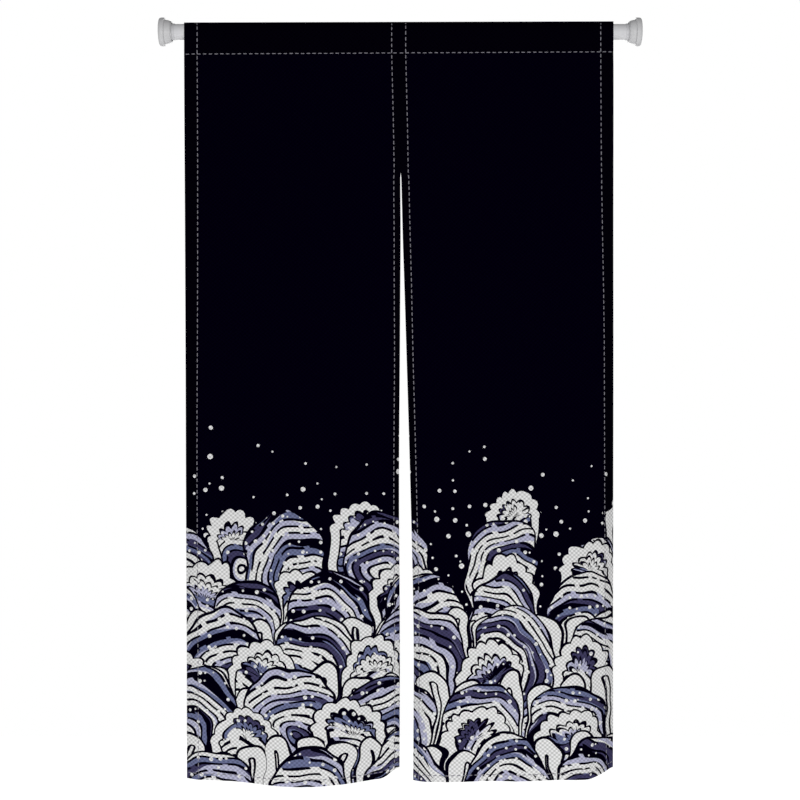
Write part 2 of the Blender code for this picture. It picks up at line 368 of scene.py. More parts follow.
def level_value(column, drop):
    """A column of LEVELS at any drop, on a smooth curve through its rows."""
    drops = [level.drop for level in LEVELS]
    values = [getattr(level, column) for level in LEVELS]
    last = len(LEVELS) - 1
    i = min(last - 1, max(0, sum(d <= drop for d in drops) - 1))
    span = drops[i + 1] - drops[i]

    def rise_over_span(k):
        low, high = max(0, k - 1), min(last, k + 1)
        return span * (values[high] - values[low]) / (drops[high] - drops[low])

    t = clamped((drop - drops[i]) / span)
    return (
        values[i] * (1 + 2 * t) * (1 - t) ** 2
        + rise_over_span(i) * t * (1 - t) ** 2
        + values[i + 1] * t * t * (3 - 2 * t)
        + rise_over_span(i + 1) * t * t * (t - 1)
    )


def seam_clearance(drop):
    """Half the space between the panels. They are sewn tight above the slit's mouth."""
    below_start = drop - SLIT_START
    opened = eased((below_start + MOUTH_RISE) / MOUTH_OPENING)
    mouth = MOUTH_SPACE * (1 - eased((below_start - MOUTH_LENGTH) / MOUTH_FADE))
    return mix(-SEAM_BITE, GAP / 2 + mouth, opened)


def left_panel_edges(drop):
    return level_value("left", drop), level_value("seam", drop) - seam_clearance(drop)


def right_panel_edges(drop):
    slit = max(0.0, level_value("slit", drop))
    return level_value("seam", drop) + slit + seam_clearance(drop), level_value("right", drop)


Panel = namedtuple("Panel", "name node edges print_start folds lifts left right")
PANELS = (
    Panel(
        name="cloth_left",
        node="panel_left",
        edges=left_panel_edges,
        print_start=0.0,
        folds=LEFT_FOLDS,
        lifts=LEFT_LIFTS,
        left=LEFT_OUTER,
        right=LEFT_INNER,
    ),
    Panel(
        name="cloth_right",
        node="panel_right",
        edges=right_panel_edges,
        print_start=PANEL_WIDTH,
        folds=RIGHT_FOLDS,
        lifts=RIGHT_LIFTS,
        left=RIGHT_INNER,
        right=RIGHT_OUTER,
    ),
)


def bump(offset, half_width):
    """One at the middle, falling smoothly to nothing at the half width."""
    share = abs(offset) / half_width
    return 0.5 * (1 + math.cos(math.pi * share)) if share < 1 else 0.0


def grown(down, starts):
    return clamped((down - starts) / (1 - starts)) ** FOLD_GROWTH


def turned_back(inside, side, down):
    """How far a side's hem lies behind the cloth, at a distance inside the panel's edge."""
    turned = eased((down - side.starts) / (side.full_at - side.starts))
    angle = math.radians(side.angle) * turned
    past = side.hem - inside
    return math.sin(angle) * HEM_BEND_SOFTNESS * math.log1p(math.exp(past / HEM_BEND_SOFTNESS))


def depth(panel, across, down):
    """How far the cloth stands behind the rod's axis."""
    folds = sum(
        fold.toward * bump(across - fold.across, fold.half_width) * grown(down, fold.starts)
        for fold in panel.folds
    )
    left = turned_back(across, panel.left, down)
    right = turned_back(PANEL_WIDTH - across, panel.right, down)
    return left + right - folds


def shares_across(panel, places, down):
    """How much of the panel's width in X lies to the left of each place across the cloth."""
    step = PANEL_WIDTH / ARC_SAMPLES
    reached = [0.0]
    before = depth(panel, 0.0, down)
    for i in range(1, ARC_SAMPLES + 1):
        here = depth(panel, i * step, down)
        reached.append(reached[-1] + math.sqrt(max(step * step - (here - before) ** 2, 0.0)))
        before = here
    shares = []
    for place in places:
        i = min(int(place / step), ARC_SAMPLES - 1)
        shares.append(mix(reached[i], reached[i + 1], place / step - i) / reached[-1])
    return shares


def along_curtain(x):
    """0 at the curtain's left end and 1 at its right end."""
    return clamped((x - LEVELS[0].left) / (LEVELS[0].right - LEVELS[0].left))


def stitch_z(x):
    return -mix(STITCH_DROP_LEFT, STITCH_DROP_RIGHT, along_curtain(x))


def crease_z(x):
    return mix(CREASE_HEIGHT_LEFT, CREASE_HEIGHT_RIGHT, along_curtain(x))


def hem_lift(panel, across):
    return sum(lift.up * bump(across - lift.across, lift.half_width) for lift in panel.lifts)


def pucker_wave(along):
    drift = PUCKER_DRIFT * math.sin(math.tau * along / PUCKER_DRIFT_LENGTH)
    short = math.sin(math.tau * along / SHORT_PUCKER + drift)
    long = math.sin(math.tau * along / LONG_PUCKER + LONG_PUCKER_TURN)
    return short + LONG_PUCKER_SHARE * long


def puckers(panel, across, height):
    """Small waves along the sewn lines, which die out away from them.

    Both panels have the same waves at the seam, so it stays shut from any side.
    """
    waves = 0.0
    along_rod = panel.print_start + across
    from_seam = abs(along_rod - PANEL_WIDTH)
    lines = (
        (from_seam - INNER_HEM, height + SEAM_PUCKER_START),
        (PANEL_WIDTH - OUTER_HEM - from_seam, height + panel.print_start),
        (height - BOTTOM_STITCH_HEIGHT, along_rod),
        (SHEET_LENGTH - height, along_rod),
    )
    for away, along in lines:
        nearness = math.exp(-((away / PUCKER_REACH) ** 2))
        waves += nearness * pucker_wave(along)
    return PUCKER_DEPTH * waves


def column_places(panel):
    """The distances across the flat panel that get a column of points."""
    left = spread(EDGE_INSET, panel.left.hem, HEM_COLUMN_STEP)
    field = spread(panel.left.hem, PANEL_WIDTH - panel.right.hem, COLUMN_STEP)
    right = spread(PANEL_WIDTH - panel.right.hem, PANEL_WIDTH - EDGE_INSET, HEM_COLUMN_STEP)
    return left + field[1:-1] + right


def cloth_row(panel, places, height):
    """A row of points at a height above the finished hem, measured along the cloth."""
    down = 1 - height / SHEET_LENGTH
    left, right = panel.edges(mix(-stitch_z(ROD_LENGTH / 2), HEM_DROP, down))
    points = []
    for across, share in zip(places, shares_across(panel, places, down)):
        x = mix(left, right, share)
        z = mix(stitch_z(x), -HEM_DROP, down) + hem_lift(panel, across) * down ** LIFT_SHARPNESS
        y = depth(panel, across, down) + puckers(panel, across, height)
        points.append((x, y, z))
    return points


def normals(points):
    """Unit normals of a grid of points, on the printed side."""
    along_rows = np.gradient(points, axis=0)
    along_columns = np.gradient(points, axis=1)
    made = np.cross(along_columns, along_rows)
    return made / np.linalg.norm(made, axis=2, keepdims=True)


def stack_depths(panel, places):
    """How far behind the cloth its turned layer lies, with room for side hems between."""
    depths = []
    for place in places:
        past_hem = min(place - panel.left.hem, PANEL_WIDTH - panel.right.hem - place)
        layers = 1 + 2 * (1 - eased(past_hem / HEM_EASE))
        depths.append(layers * LAYER_PITCH)
    return np.array(depths)[:, None]


def turned_up_hem(lowest, hem_rows, hem_heights, depths):
    """The bottom hem's back layer and its fold, from the raw edge to just before the front."""
    facing = normals(np.array([lowest, *hem_rows]))
    rows = [hem_rows[i] - facing[i + 1] * depths for i in reversed(range(len(hem_rows)))]
    heights = [-height for height in reversed(hem_heights)]
    upward = (hem_rows[0] - lowest) / hem_heights[0]
    for step in range(FOLD_STEPS):
        angle = math.pi * (1 - step / FOLD_STEPS)
        height = depths / 2 * (1 - math.sin(angle))
        behind = depths / 2 * (1 - math.cos(angle))
        rows.append(lowest + upward * height - facing[0] * behind)
        heights.append(mix(-LAYER_PITCH, LAYER_PITCH, step / FOLD_STEPS) / 2)
    return rows, heights


def arc(radius, centre_z, start, end, count):
    """(Y, Z) points on the front of a circle round the rod's direction, before its end."""
    angles = [mix(start, end, i / count) for i in range(count)]
    return [(-radius * math.cos(a), centre_z + radius * math.sin(a)) for a in angles]


def straight(start, end, count):
    return [tuple(mix(a, b, i / count) for a, b in zip(start, end)) for i in range(count)]


def pocket_section(x, behind):
    """(Y, Z) points from the stitch line up the front, over the crease and down the back."""
    bottom = (0.0, stitch_z(x))
    crease_middle = crease_z(x) + CREASE_RISE - CREASE_RADIUS
    low = -math.asin(POCKET_RADIUS / -stitch_z(x))
    high = math.asin((POCKET_RADIUS - CREASE_RADIUS) / crease_middle)
    round_rod = arc(POCKET_RADIUS, 0.0, low, high, POCKET_ARC_ROWS)
    leaves_rod = arc(POCKET_RADIUS, 0.0, high, high, 1)[0]
    over_crease = arc(CREASE_RADIUS, crease_middle, high, math.pi / 2, CREASE_ROWS)
    front = straight(bottom, round_rod[0], POCKET_STRAIGHT_ROWS)
    front += round_rod + straight(leaves_rod, over_crease[0], POCKET_FLANK_ROWS) + over_crease
    top = (0.0, crease_middle + CREASE_RADIUS)
    back = []
    for row, (y, z) in enumerate(front):
        settling = max(0.0, 1 - row / POCKET_STRAIGHT_ROWS)
        back.append((behind * settling - y, z))
    return front + [top] + back[::-1]


def drawn_in(x, y):
    """The cloth's place along the rod, drawn in a little where the pocket swells round it."""
    return CAMERA_X + (x - CAMERA_X) * (1 - abs(y) / CAMERA_DISTANCE)


def running_length(rows):
    """Length along the cloth from the first row to each row, at the middle column."""
    middle = np.array([row[len(row) // 2] for row in rows])
    steps = np.linalg.norm(np.diff(middle, axis=0), axis=1)
    return np.concatenate([[0.0], np.cumsum(steps)])


def pocket_rows(top, depths):
    """Rows of the pocket, from above its stitch line, over the rod and down to the line again."""
    sections = [pocket_section(point[0], behind[0]) for point, behind in zip(top, depths)]
    rows = []
    for row in range(1, len(sections[0])):
        places = [section[row] for section in sections]
        points = [(drawn_in(point[0], y), y, z) for point, (y, z) in zip(top, places)]
        rows.append(np.array(points))
    return rows


def tail_rows(sheet, depths):
    """Rows of the pocket's turned end, which hangs behind the sheet below the stitch line."""
    behind = np.hstack([np.zeros_like(depths), depths, np.zeros_like(depths)])
    shares = [row / TAIL_ROWS for row in range(1, TAIL_ROWS + 1)]
    return [mix(sheet[-1], sheet[-2], share) + behind for share in shares]


# The cloth of a panel before its side hems are turned: points and normals by row and column,
# each column's place across the flat panel, and each row's height along the cloth.
Strip = namedtuple("Strip", "points facing places heights")


def panel_strip(panel):
    """The strip of a panel: bottom hem, sheet, pocket and the pocket's turned end."""
    places = column_places(panel)
    depths = stack_depths(panel, places)
    hem_heights = spread(HEM_ROW_STEP, BOTTOM_HEM, HEM_ROW_STEP)
    sheet_heights = hem_heights + spread(BOTTOM_HEM, SHEET_LENGTH, ROW_STEP)[1:]
    lowest = np.array(cloth_row(panel, places, 0.0))
    sheet = [np.array(cloth_row(panel, places, height)) for height in sheet_heights]
    hem_count = len(hem_heights)
    rows, heights = turned_up_hem(lowest, sheet[:hem_count], hem_heights, depths)
    above = pocket_rows(sheet[-1], depths) + tail_rows(sheet, depths)
    rows += sheet + above
    heights += sheet_heights
    heights += [SHEET_LENGTH + length for length in running_length([sheet[-1]] + above)[1:]]
    points = np.array(rows)
    return Strip(points, normals(points), np.array(places), np.array(heights))


def side_hem(strip, hem, from_right):
    """Columns of a side hem and its fold, ordered from the raw edge to the panel."""
    points, facing, places = strip.points, strip.facing, strip.places
    if from_right:
        points, facing, places = points[:, ::-1], facing[:, ::-1], PANEL_WIDTH - places[::-1]
    outward = points[:, 0] - points[:, 1]
    outward /= np.linalg.norm(outward, axis=1, keepdims=True)
    count = int(np.searchsorted(places, hem + HEM_ALLOWANCE))
    layer = [points[:, i] - facing[:, i] * LAYER_PITCH for i in reversed(range(count))]
    beyond = [-places[i] for i in reversed(range(count))]
    middle = points[:, 0] - facing[:, 0] * LAYER_PITCH / 2
    for step in range(1, FOLD_STEPS):
        angle = math.pi * (1 - step / FOLD_STEPS)
        swing = facing[:, 0] * math.cos(angle) + outward * math.sin(angle)
        layer.append(middle + swing * LAYER_PITCH / 2)
        beyond.append(mix(-EDGE_INSET, EDGE_INSET, step / FOLD_STEPS))
    return layer, beyond


def hemmed_grid(panel, strip):
    """The whole panel's grid of points, with each column's place on the cloth."""
    left, left_places = side_hem(strip, panel.left.hem, from_right=False)
    right, right_places = side_hem(strip, panel.right.hem, from_right=True)
    field = [strip.points[:, i] for i in range(len(strip.places))]
    columns = left + field + right[::-1]
    right_places = [PANEL_WIDTH - place for place in reversed(right_places)]
    places = left_places + list(strip.places) + right_places
    return np.stack(columns, axis=1), places


def cloth_shape(panel, strip):
    points, places = hemmed_grid(panel, strip)
    row_count, column_count = points.shape[:2]
    shape = bmesh.new()
    uv = shape.loops.layers.uv.new("cloth")
    spots = []
    for row in range(row_count):
        spots.append([shape.verts.new(points[row, column]) for column in range(column_count)])
    for row in range(row_count - 1):
        for column in range(column_count - 1):
            corners = ((row, column), (row, column + 1), (row + 1, column + 1), (row + 1, column))
            face = shape.faces.new([spots[r][c] for r, c in corners])
            face.smooth = True
            for loop, (r, c) in zip(face.loops, corners):
                loop[uv].uv = (panel.print_start + places[c], strip.heights[r])
    return shape


def finished(shape, name):
    mesh = bpy.data.meshes.new(name)
    shape.to_mesh(mesh)
    shape.free()
    return mesh


def placed(name, data, place=(0.0, 0.0, 0.0)):
    thing = bpy.data.objects.new(name, data)
    thing.location = place
    bpy.context.scene.collection.objects.link(thing)
    return thing


def show(shape, name, slot, *finishes):
    """Put a shape in the scene as a piece of the curtain."""
    piece = placed(name, finished(shape, name))
    for finish in finishes:
        piece.data.materials.append(finish)
    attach(piece, "root")
    return piece


def add_cloth(panel, strip, printed, reverse):
    piece = show(cloth_shape(panel, strip), panel.name, "cloth", printed, reverse)
    solid = piece.modifiers.new("thickness", "SOLIDIFY")
    solid.thickness = SHEET_THICKNESS
    solid.offset = 0.0
    solid.use_even_offset = False
    solid.material_offset = 1
    solid.material_offset_rim = 1
    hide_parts(panel.node)
    return piece


def on_cloth(strip, across, height):
    """Point and normal at a place on the printed side of the strip."""
    column = np.interp(across, strip.places, np.arange(len(strip.places)))
    row = np.interp(height, strip.heights, np.arange(len(strip.heights)))
    c = min(int(column), len(strip.places) - 2)
    r = min(int(row), len(strip.heights) - 2)
    right, up = column - c, row - r

    def blended(grid):
        low = mix(grid[r, c], grid[r, c + 1], right)
        high = mix(grid[r + 1, c], grid[r + 1, c + 1], right)
        return Vector(mix(low, high, up))

    return blended(strip.points), blended(strip.facing).normalized()


# A line of stitches runs from a start to an end, both (across, height) on the flat cloth. Out
# is the distance of the thread's middle from the cloth's middle, and is negative behind it.
SewnLine = namedtuple("SewnLine", "start end out")


def stitch_lines(panel, strip):
    """Both side hems' lines, each before and behind, then the bottom hem's and the pocket's.

    The printed side faces back where the cloth is turned, and takes those lines' back threads.
    """
    printed = SHEET_THICKNESS / 2
    hem_back = -(LAYER_PITCH + SHEET_THICKNESS / 2)
    lines = []
    for across in (panel.left.stitch, PANEL_WIDTH - panel.right.stitch):
        lowest, crease = (across, LOWEST_STITCH_START), (across, SHEET_LENGTH + POCKET_FRONT)
        lines.append(SewnLine(lowest, crease, printed))
        low, high = BOTTOM_HEM + STITCH_MARGIN, SHEET_LENGTH - STITCH_MARGIN
        lines.append(SewnLine((across, low), (across, high), hem_back))
    pocket_end = strip.heights[-1 - TAIL_ROWS]
    for height in (BOTTOM_STITCH_HEIGHT, -BOTTOM_STITCH_HEIGHT, SHEET_LENGTH, pocket_end):
        start, end = (STITCH_MARGIN, height), (PANEL_WIDTH - STITCH_MARGIN, height)
        lines.append(SewnLine(start, end, printed))
    return lines


def stitch_path(strip, line, middle):
    """The middle of each of a stitch's rings, and the way out from the cloth there."""
    total = math.dist(line.start, line.end)
    path = []
    for along, _ in STITCH_RINGS:
        share = (middle + along * STITCH_LENGTH / 2) / total
        across, height = (mix(start, end, share) for start, end in zip(line.start, line.end))
        point, facing = on_cloth(strip, across, height)
        path.append((point + facing * line.out, facing if line.out > 0 else -facing))
    return path


def thread_ring(shape, centre, side, up, size):
    """Points round the thread, which is flattened on the cloth."""
    ring = []
    for k in range(STITCH_SIDES):
        angle = math.tau * k / STITCH_SIDES
        offset = side * (math.cos(angle) * STITCH_WIDTH / 2)
        offset += up * (math.sin(angle) * STITCH_HEIGHT / 2)
        ring.append(shape.verts.new(centre + offset * size))
    return ring


def add_stitch(shape, strip, line, middle):
    """One stitch, bent to the cloth, with its middle at a length along the line."""
    path = stitch_path(strip, line, middle)
    direction = (path[-1][0] - path[0][0]).normalized()
    rings = []
    for (centre, up), (_, size) in zip(path, STITCH_RINGS):
        side = direction.cross(up).normalized()
        rings.append(thread_ring(shape, centre, side, up, size))
    for ring, after in zip(rings, rings[1:]):
        for k in range(STITCH_SIDES):
            n = (k + 1) % STITCH_SIDES
            shape.faces.new((ring[k], ring[n], after[n], after[k])).smooth = True
    shape.faces.new(rings[0][::-1])
    shape.faces.new(rings[-1])


def add_stitches(panel, strip, thread):
    shape = bmesh.new()
    for line in stitch_lines(panel, strip):
        total = math.dist(line.start, line.end)
        count = round(total / STITCH_PITCH)
        for i in range(count):
            add_stitch(shape, strip, line, (i + 0.5) * total / count)
    bmesh.ops.recalc_face_normals(shape, faces=shape.faces)
    return show(shape, panel.name.replace("cloth", "stitching"), "cloth", thread)


class Graph:
    """Short calls for making the nodes of a material or of the world."""

    def __init__(self, owner):
        self.owner = owner
        owner.use_nodes = True
        self.tree = owner.node_tree
        nodes = self.tree.nodes
        self.shader = nodes.get("Principled BSDF") or nodes["Background"]

    def add(self, kind, **settings):
        node = self.tree.nodes.new(kind)
        for key, value in settings.items():
            setattr(node, key, value)
        return node

    def feed(self, socket, value):
        if isinstance(value, bpy.types.NodeSocket):
            self.tree.links.new(value, socket)
        else:
            socket.default_value = value

    def math(self, operation, *values):
        node = self.add("ShaderNodeMath", operation=operation)
        for socket, value in zip(node.inputs, values):
            self.feed(socket, value)
        return node.outputs[0]

    def plus(self, a, b):
        return self.math("ADD", a, b)

    def minus(self, a, b):
        return self.math("SUBTRACT", a, b)

    def times(self, a, b):
        return self.math("MULTIPLY", a, b)

    def is_over(self, a, b):
        return self.math("GREATER_THAN", a, b)

    def is_under(self, a, b):
        return self.math("LESS_THAN", a, b)

    def between(self, share, low, high):
        """Low where the share is 0, and high where it is 1."""
        return self.math("MULTIPLY_ADD", share, high - low, low)

    def length(self, x, y):
        """The length of a step of x across and y up."""
        return self.math("SQRT", self.math("MULTIPLY_ADD", x, x, self.times(y, y)))

    def scaled(self, colour, factor):
        node = self.add("ShaderNodeVectorMath", operation="SCALE")
        self.feed(node.inputs[0], colour)
        self.feed(node.inputs["Scale"], factor)
        return node.outputs[0]

    def mixed(self, share, a, b):
        node = self.add("ShaderNodeMix", data_type="RGBA")
        self.feed(node.inputs["Factor"], share)
        self.feed(node.inputs["A"], a)
        self.feed(node.inputs["B"], b)
        return node.outputs["Result"]

    def combined(self, x, y, z=0.0):
        node = self.add("ShaderNodeCombineXYZ")
        for socket, value in zip(node.inputs, (x, y, z)):
            self.feed(socket, value)
        return node.outputs[0]

    def split(self, vector):
        node = self.add("ShaderNodeSeparateXYZ")
        self.feed(node.inputs[0], vector)
        return node.outputs

    def random(self, seed):
        """Three random numbers from 0 to 1, the same for the same seed."""
        node = self.add("ShaderNodeTexWhiteNoise", noise_dimensions="1D")
        self.feed(node.inputs["W"], seed)
        return self.split(node.outputs["Color"])

    def noise(self, vector, scale, detail=2.0):
        node = self.add("ShaderNodeTexNoise")
        self.feed(node.inputs["Vector"], vector)
        node.inputs["Scale"].default_value = scale
        node.inputs["Detail"].default_value = detail
        return node.outputs["Fac"]

    def voronoi(self, x, y, cell):
        """Metres to the nearest scattered point, its random numbers and its place."""
        node = self.add("ShaderNodeTexVoronoi", voronoi_dimensions="2D")
        self.feed(node.inputs["Vector"], self.combined(x, y))
        node.inputs["Scale"].default_value = 1 / cell
        node.inputs["Randomness"].default_value = DOT_SCATTER
        distance = self.times(node.outputs["Distance"], cell)
        place = self.split(node.outputs["Position"])
        return distance, self.split(node.outputs["Color"]), place

    def bump(self, height, distance, strength=1.0):
        node = self.add("ShaderNodeBump")
        node.inputs["Strength"].default_value = strength
        node.inputs["Distance"].default_value = distance
        self.feed(node.inputs["Height"], height)
        self.feed(self.shader.inputs["Normal"], node.outputs["Normal"])

    def set(self, **values):
        for name, value in values.items():
            self.feed(self.shader.inputs[name.replace("_", " ")], value)


def cloth_place(g):
    """Where on the flat cloth a point is: metres from the left edge and above the hem."""
    node = g.add("ShaderNodeUVMap", uv_map="cloth")
    x, y, _ = g.split(node.outputs["UV"])
    return x, y


def hand_drawn(g, x, y):
    """The place on the cloth, wobbled slowly so that drawn curves aren't perfect circles."""
    node = g.add("ShaderNodeTexNoise", noise_dimensions="2D")
    g.feed(node.inputs["Vector"], g.combined(x, y))
    node.inputs["Scale"].default_value = WOBBLE_SCALE
    node.inputs["Detail"].default_value = WOBBLE_DETAIL
    across, up, _ = g.split(node.outputs["Color"])
    x = g.math("MULTIPLY_ADD", g.minus(across, 0.5), HAND_WOBBLE * 2, x)
    y = g.math("MULTIPLY_ADD", g.minus(up, 0.5), HAND_WOBBLE * 2, y)
    return x, y


def print_row(g, x, y, row, seed):
    """One row of roundels: distance inside the rim, depth into the rings, and a tone.

    The tone is the row's kind with a random share added, which seeds the roundel's inks.
    A roundel is a dome: below its middle its sides run straight down, behind the rows in front.
    Its rings are drawn about a point off its middle, so they crowd together on one side.
    """
    from_first = g.minus(x, row.first)
    cell = g.math("ROUND", g.math("DIVIDE", from_first, row.pitch))
    from_cell = g.minus(from_first, g.times(cell, row.pitch))
    chance = g.random(g.plus(cell, seed))
    sway = g.between(chance[0], -row.sway / 2, row.sway / 2)
    rise = g.math("MULTIPLY_ADD", chance[1], row.rise, row.height - row.rise / 2)
    dx = g.minus(from_cell, sway)
    dy = g.minus(y, rise)
    above = g.math("MAXIMUM", dy, 0.0)
    radius = g.between(chance[2], row.radius * SMALLEST_ROUNDEL, row.radius)
    if row.kind == FLOWER:
        angle = g.math("ARCTAN2", dx, above)
        scallop = g.math("ABSOLUTE", g.math("SINE", g.times(angle, SCALLOP_COUNT / 2)))
        radius = g.math("MULTIPLY_ADD", scallop, SCALLOP_HEIGHT, radius)
    rim = g.minus(radius, g.length(dx, above))
    lean = g.between(chance[0], -1.0, 1.0)
    ring_x = g.math("MULTIPLY_ADD", lean, -OFF_CENTRE, dx)
    ring_y = g.plus(dy, OFF_CENTRE)
    rings_end = g.plus(radius, RINGS_REACH)
    depth_in = g.minus(rings_end, g.length(ring_x, ring_y))
    tone = g.math("MULTIPLY_ADD", chance[1], TONE_RANGE, row.kind)
    return rim, depth_in, tone


def painted_rows(g, x, y):
    """The front-most roundel at each point: its rim distance, ring depth and tone."""
    state = g.combined(-1.0, 0.0, 0.0)
    for number, row in enumerate(PRINT_ROWS):
        seed = ROW_SEED_START + ROW_SEED_STEP * number
        rim, depth_in, tone = print_row(g, x, y, row, seed)
        node = g.add("ShaderNodeMix", data_type="VECTOR")
        g.feed(node.inputs["Factor"], g.is_over(rim, 0.0))
        g.feed(node.inputs[4], state)
        g.feed(node.inputs[5], g.combined(rim, depth_in, tone))
        state = node.outputs[1]
    return g.split(state)


def chosen_ink(g, darkness):
    """The ink of the palette for a darkness from 0 to 1."""
    node = g.add("ShaderNodeValToRGB")
    g.feed(node.inputs["Fac"], darkness)
    ramp = node.color_ramp
    ramp.interpolation = "CONSTANT"
    ramp.elements[0].color = INK_WHITE
    ramp.elements[1].position = INK_STEPS[0]
    ramp.elements[1].color = INK_LAVENDER
    for position, ink in zip(INK_STEPS[1:], (INK_SLATE, INK_INDIGO, INK_BLACK)):
        ramp.elements.new(position).color = ink
    return node.outputs["Color"]


def ring_colours(g, x, y, depth_in, tone):
    """Rings inside a roundel, which pass from pale inks to deep ones and back.

    A ring has a second ink near its own, which tapers along it.
    """
    rings = g.math("DIVIDE", depth_in, RING_PITCH)
    number = g.math("FLOOR", rings)
    share = g.minus(rings, number)
    chance = g.random(g.times(tone, ROUNDEL_SEEDS))
    first_turn = g.times(chance[0], math.tau)
    cycle = g.math("MULTIPLY_ADD", number, math.tau / INK_CYCLE, first_turn)
    darkness = g.math("MULTIPLY_ADD", g.math("COSINE", cycle), -0.5, 0.5)
    ring_seed = g.math("MULTIPLY_ADD", tone, ROUNDEL_SEEDS, g.times(number, RING_SEEDS))
    chance = g.random(ring_seed)
    second_step = g.between(chance[1], SECOND_INK_LIGHTER, SECOND_INK_DARKER)
    second_darkness = g.plus(darkness, second_step)
    slanted = g.plus(x, g.times(y, TAPER_SLANT))
    along = g.times(slanted, TAPER_TURNS)
    turn = g.math("MULTIPLY_ADD", chance[2], math.tau, along)
    taper = g.math("MULTIPLY_ADD", g.math("SINE", turn), TAPER_DEPTH, TAPER_MIDDLE)
    first, second = chosen_ink(g, darkness), chosen_ink(g, second_darkness)
    colour = g.mixed(g.is_over(share, taper), first, second)
    swing = g.math("SINE", g.times(turn, BREAK_RATE))
    whole = g.is_under(swing, BREAK_ABOVE)
    line = g.is_under(share, INK_LINE / RING_PITCH)
    return g.mixed(g.times(line, whole), colour, INK_BLACK)


def foam_dots(g, x, y):
    """One inside the round dots that lie over the rings, and nothing between them."""
    away, chance, _ = g.voronoi(x, y, DOT_CELL)
    radius = g.between(chance[0], DOT_SMALL, DOT_LARGE)
    inside = g.is_under(away, radius)
    return g.times(inside, g.is_over(chance[1], DOTS_LEFT_OUT))


def sky_colours(g, x, y):
    """The dark ground with pale dots, which thin out upwards."""
    away, chance, dot = g.voronoi(x, y, SKY_DOT_CELL)
    largeness = g.math("POWER", chance[1], SKY_DOT_RARITY)
    radius = g.between(largeness, SKY_DOT_SMALL, SKY_DOT_LARGE)
    inside = g.is_under(away, radius)
    climbed = g.minus(dot[1], SKY_DOTS_FULL)
    height_share = g.math("DIVIDE", climbed, SKY_DOTS_END - SKY_DOTS_FULL)
    kept = g.is_over(chance[0], height_share)
    return g.mixed(g.times(inside, kept), ground_colour(g, x, y), INK_WHITE)


def ground_colour(g, x, y):
    """The dark ground, a little greyer where hems and the pocket double the cloth."""
    middle = g.math("ABSOLUTE", g.minus(x, PANEL_WIDTH))
    inner = g.is_under(middle, INNER_HEM)
    outer = g.is_over(middle, PANEL_WIDTH - OUTER_HEM)
    pocket = g.is_over(y, SHEET_LENGTH)
    doubled = g.math("MAXIMUM", g.math("MAXIMUM", inner, outer), pocket)
    return g.mixed(doubled, INK_BLACK, HEM_BLACK)


def print_colours(g, x, y):
    sky = sky_colours(g, x, y)
    dots = foam_dots(g, x, y)
    x, y = hand_drawn(g, x, y)
    rim, depth_in, tone = painted_rows(g, x, y)
    flower = g.is_over(tone, FLOWER - KIND_MARGIN)
    cloud = g.is_over(tone, CLOUD - KIND_MARGIN)
    border = g.times(flower, FLOWER_BORDER)
    rings = g.mixed(dots, ring_colours(g, x, y, depth_in, tone), INK_WHITE)
    pale = g.math("MAXIMUM", g.is_under(rim, border), cloud)
    colour = g.mixed(pale, rings, INK_WHITE)
    inner_line = g.math("COMPARE", rim, border, INK_LINE / 2)
    outline = g.math("MAXIMUM", g.is_under(rim, INK_LINE), inner_line)
    colour = g.mixed(outline, colour, INK_BLACK)
    return g.mixed(g.is_over(rim, 0.0), sky, colour)


def weave_with_painted_light(g, colour, x, y, painted_contrast):
    """The colour with a plain weave's light and shade painted in, and slow unevenness in the yarn.
    """
    across = g.math("SINE", g.times(x, math.pi / WEAVE_ACROSS))
    down = g.math("SINE", g.times(y, math.pi / WEAVE_DOWN))
    threads = g.times(across, down)
    yarn = g.noise(g.combined(g.times(x, YARN_STRETCH), y), YARN_SCALE)
    uneven = g.between(yarn, -YARN_UNEVENNESS, YARN_UNEVENNESS)
    # Painted light and shade: lighter on the threads and darker in the gaps, in step with the
    # bump.
    shade = g.math("MULTIPLY_ADD", threads, painted_contrast, WEAVE_SHADE)
    g.bump(threads, WEAVE_DEPTH)
    return g.scaled(colour, g.plus(shade, uneven))


def printed_side():
    g = Graph(bpy.data.materials.new("printed_cloth"))
    x, y = cloth_place(g)
    g.set(Base_Color=weave_with_painted_light(g, print_colours(g, x, y), x, y, WEAVE_PAINTED_CONTRAST))
    g.set(Roughness=0.95, Specular_IOR_Level=0.0)
    return g.owner


def reverse_side():
    """The unprinted side: a dark ground, in which the inks show faintly."""
    g = Graph(bpy.data.materials.new("cloth_reverse"))
    x, y = cloth_place(g)
    colours = g.mixed(REVERSE_SHOW_THROUGH, REVERSE_GROUND, print_colours(g, x, y))
    g.set(Base_Color=weave_with_painted_light(g, colours, x, y, REVERSE_PAINTED_CONTRAST))
    g.set(Roughness=0.92, Specular_IOR_Level=0.05)
    return g.owner


def thread_finish():
    """Spun thread: fine twisted strands with painted shade between them, and a little fuzz in its
    tone.
    """
    g = Graph(bpy.data.materials.new("sewing_thread"))
    place = g.add("ShaderNodeTexCoord").outputs["Object"]
    x, y, z = g.split(place)
    twist = g.times(g.plus(g.plus(x, y), z), STRAND_TURNS)
    strands = g.math("SINE", twist)
    fuzz = g.between(g.noise(place, FUZZ_SCALE), *FUZZ_SHADES)
    # Painted shade: the colour darkens and lightens with the twisted strands, in step with their
    # bump.
    shade = g.math("MULTIPLY_ADD", strands, STRAND_PAINTED_SHADE, fuzz)
    g.set(Base_Color=g.scaled(THREAD_GREY[:3], shade), Roughness=0.75, Specular_IOR_Level=0.2)
    g.bump(strands, STRAND_DEPTH)
    return g.owner


